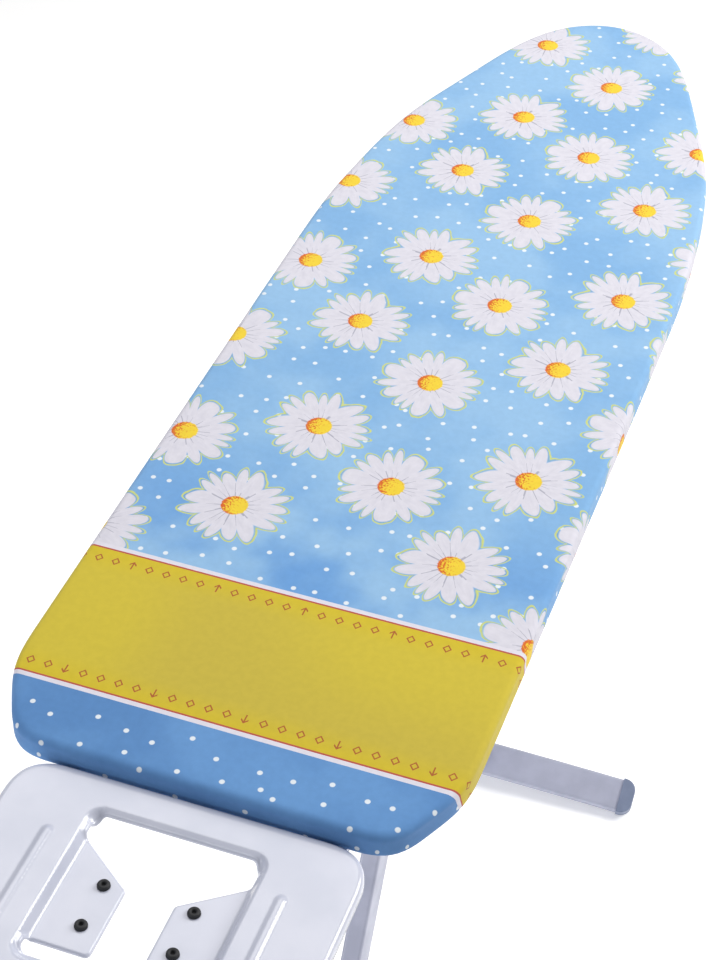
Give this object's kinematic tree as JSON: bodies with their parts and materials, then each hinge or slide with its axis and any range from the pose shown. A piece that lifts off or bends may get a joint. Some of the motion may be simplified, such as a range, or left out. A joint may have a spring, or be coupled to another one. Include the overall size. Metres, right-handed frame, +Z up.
{
  "type": "ironing board",
  "caption": "Folding ironing board: padded fabric cover on a steel panel, pressed iron rest at the square end, and crossed tubular legs with capped foot bars.",
  "frame": {"origin": "on the floor, under the middle of the whole object's box", "axes": "+Z up, +Y along the board towards the rounded nose, +X across the board to the release lever's side"},
  "size_m": [0.4016, 1.4214, 0.85],
  "materials": {
    "cover_cotton": "woven printed cotton",
    "elastic": "woven elastic tape",
    "felt": "needled felt",
    "panel_paint": "satin powder coat",
    "zinc_steel": "bright zinc plating",
    "spring_steel": "bright drawn wire",
    "rest_enamel": "glossy stove enamel",
    "black_rubber": "moulded rubber",
    "leg_paint": "satin silver-grey powder coat",
    "grey_plastic": "moulded",
    "nylon": "moulded"
  },
  "bodies": {
    "board": {"cover": "cover_cotton", "hem_elastic": "elastic", "padding": "felt", "board_panel": "panel_paint", "rim_frame": "panel_paint", "rear_beam": "panel_paint", "pivot_beam": "panel_paint", "front_beam": "panel_paint", "nose_beam": "panel_paint", "rail_left": "zinc_steel", "rail_right": "zinc_steel", "rail_screws": "zinc_steel", "top_axle": "zinc_steel", "top_axle_caps": "grey_plastic", "lever_pin": "zinc_steel", "lever_spring": "spring_steel", "spring_bracket": "zinc_steel", "iron_rest_plate": "rest_enamel", "rest_bumpers": "black_rubber", "rest_arm_left": "leg_paint", "rest_arm_right": "leg_paint", "rest_arm_screws": "zinc_steel"},
    "leg_front": {"front_leg_tube": "leg_paint", "front_leg_plug": "grey_plastic", "front_leg_sleeve": "zinc_steel", "front_foot_bar": "leg_paint", "front_foot_cap_left": "grey_plastic", "front_foot_cap_right": "grey_plastic", "cross_bolt": "zinc_steel", "cross_nut": "zinc_steel", "cross_washers": "nylon"},
    "leg_rear": {"rear_leg_tube_left": "leg_paint", "rear_leg_tube_right": "leg_paint", "rear_leg_plugs": "grey_plastic", "rear_foot_bar": "leg_paint", "rear_foot_cap_left": "grey_plastic", "rear_foot_cap_right": "grey_plastic", "cross_bushes": "nylon", "slide_rod": "zinc_steel", "slide_rod_caps": "grey_plastic", "slide_rod_spacers": "nylon"},
    "lever": {"release_lever": "zinc_steel", "lever_grip": "grey_plastic"}
  },
  "joints": [
    {"name": "leg_fold", "type": "hinge", "parent": "board", "child": "leg_front", "pos_m": [0, -0.13325, 0.784], "axis": [1, 0, 0], "range_deg": [-8, 55]},
    {"name": "leg_cross", "type": "hinge", "parent": "leg_front", "child": "leg_rear", "pos_m": [0, -0.03425, 0.61253], "axis": [1, 0, 0], "range_deg": [-110, 16]},
    {"name": "lever_hinge", "type": "hinge", "parent": "board", "child": "lever", "pos_m": [0.0615, 0.28424, 0.8006], "axis": [-1, 0, 0], "range_deg": [0, 2.5], "stiffness_Nm_per_rad": 4, "springref_deg": -6.88, "deforming": ["lever_spring"]}
  ],
  "couplings": [
    {"joint": "leg_cross", "follows": "leg_fold", "ratio": -2}
  ]
}
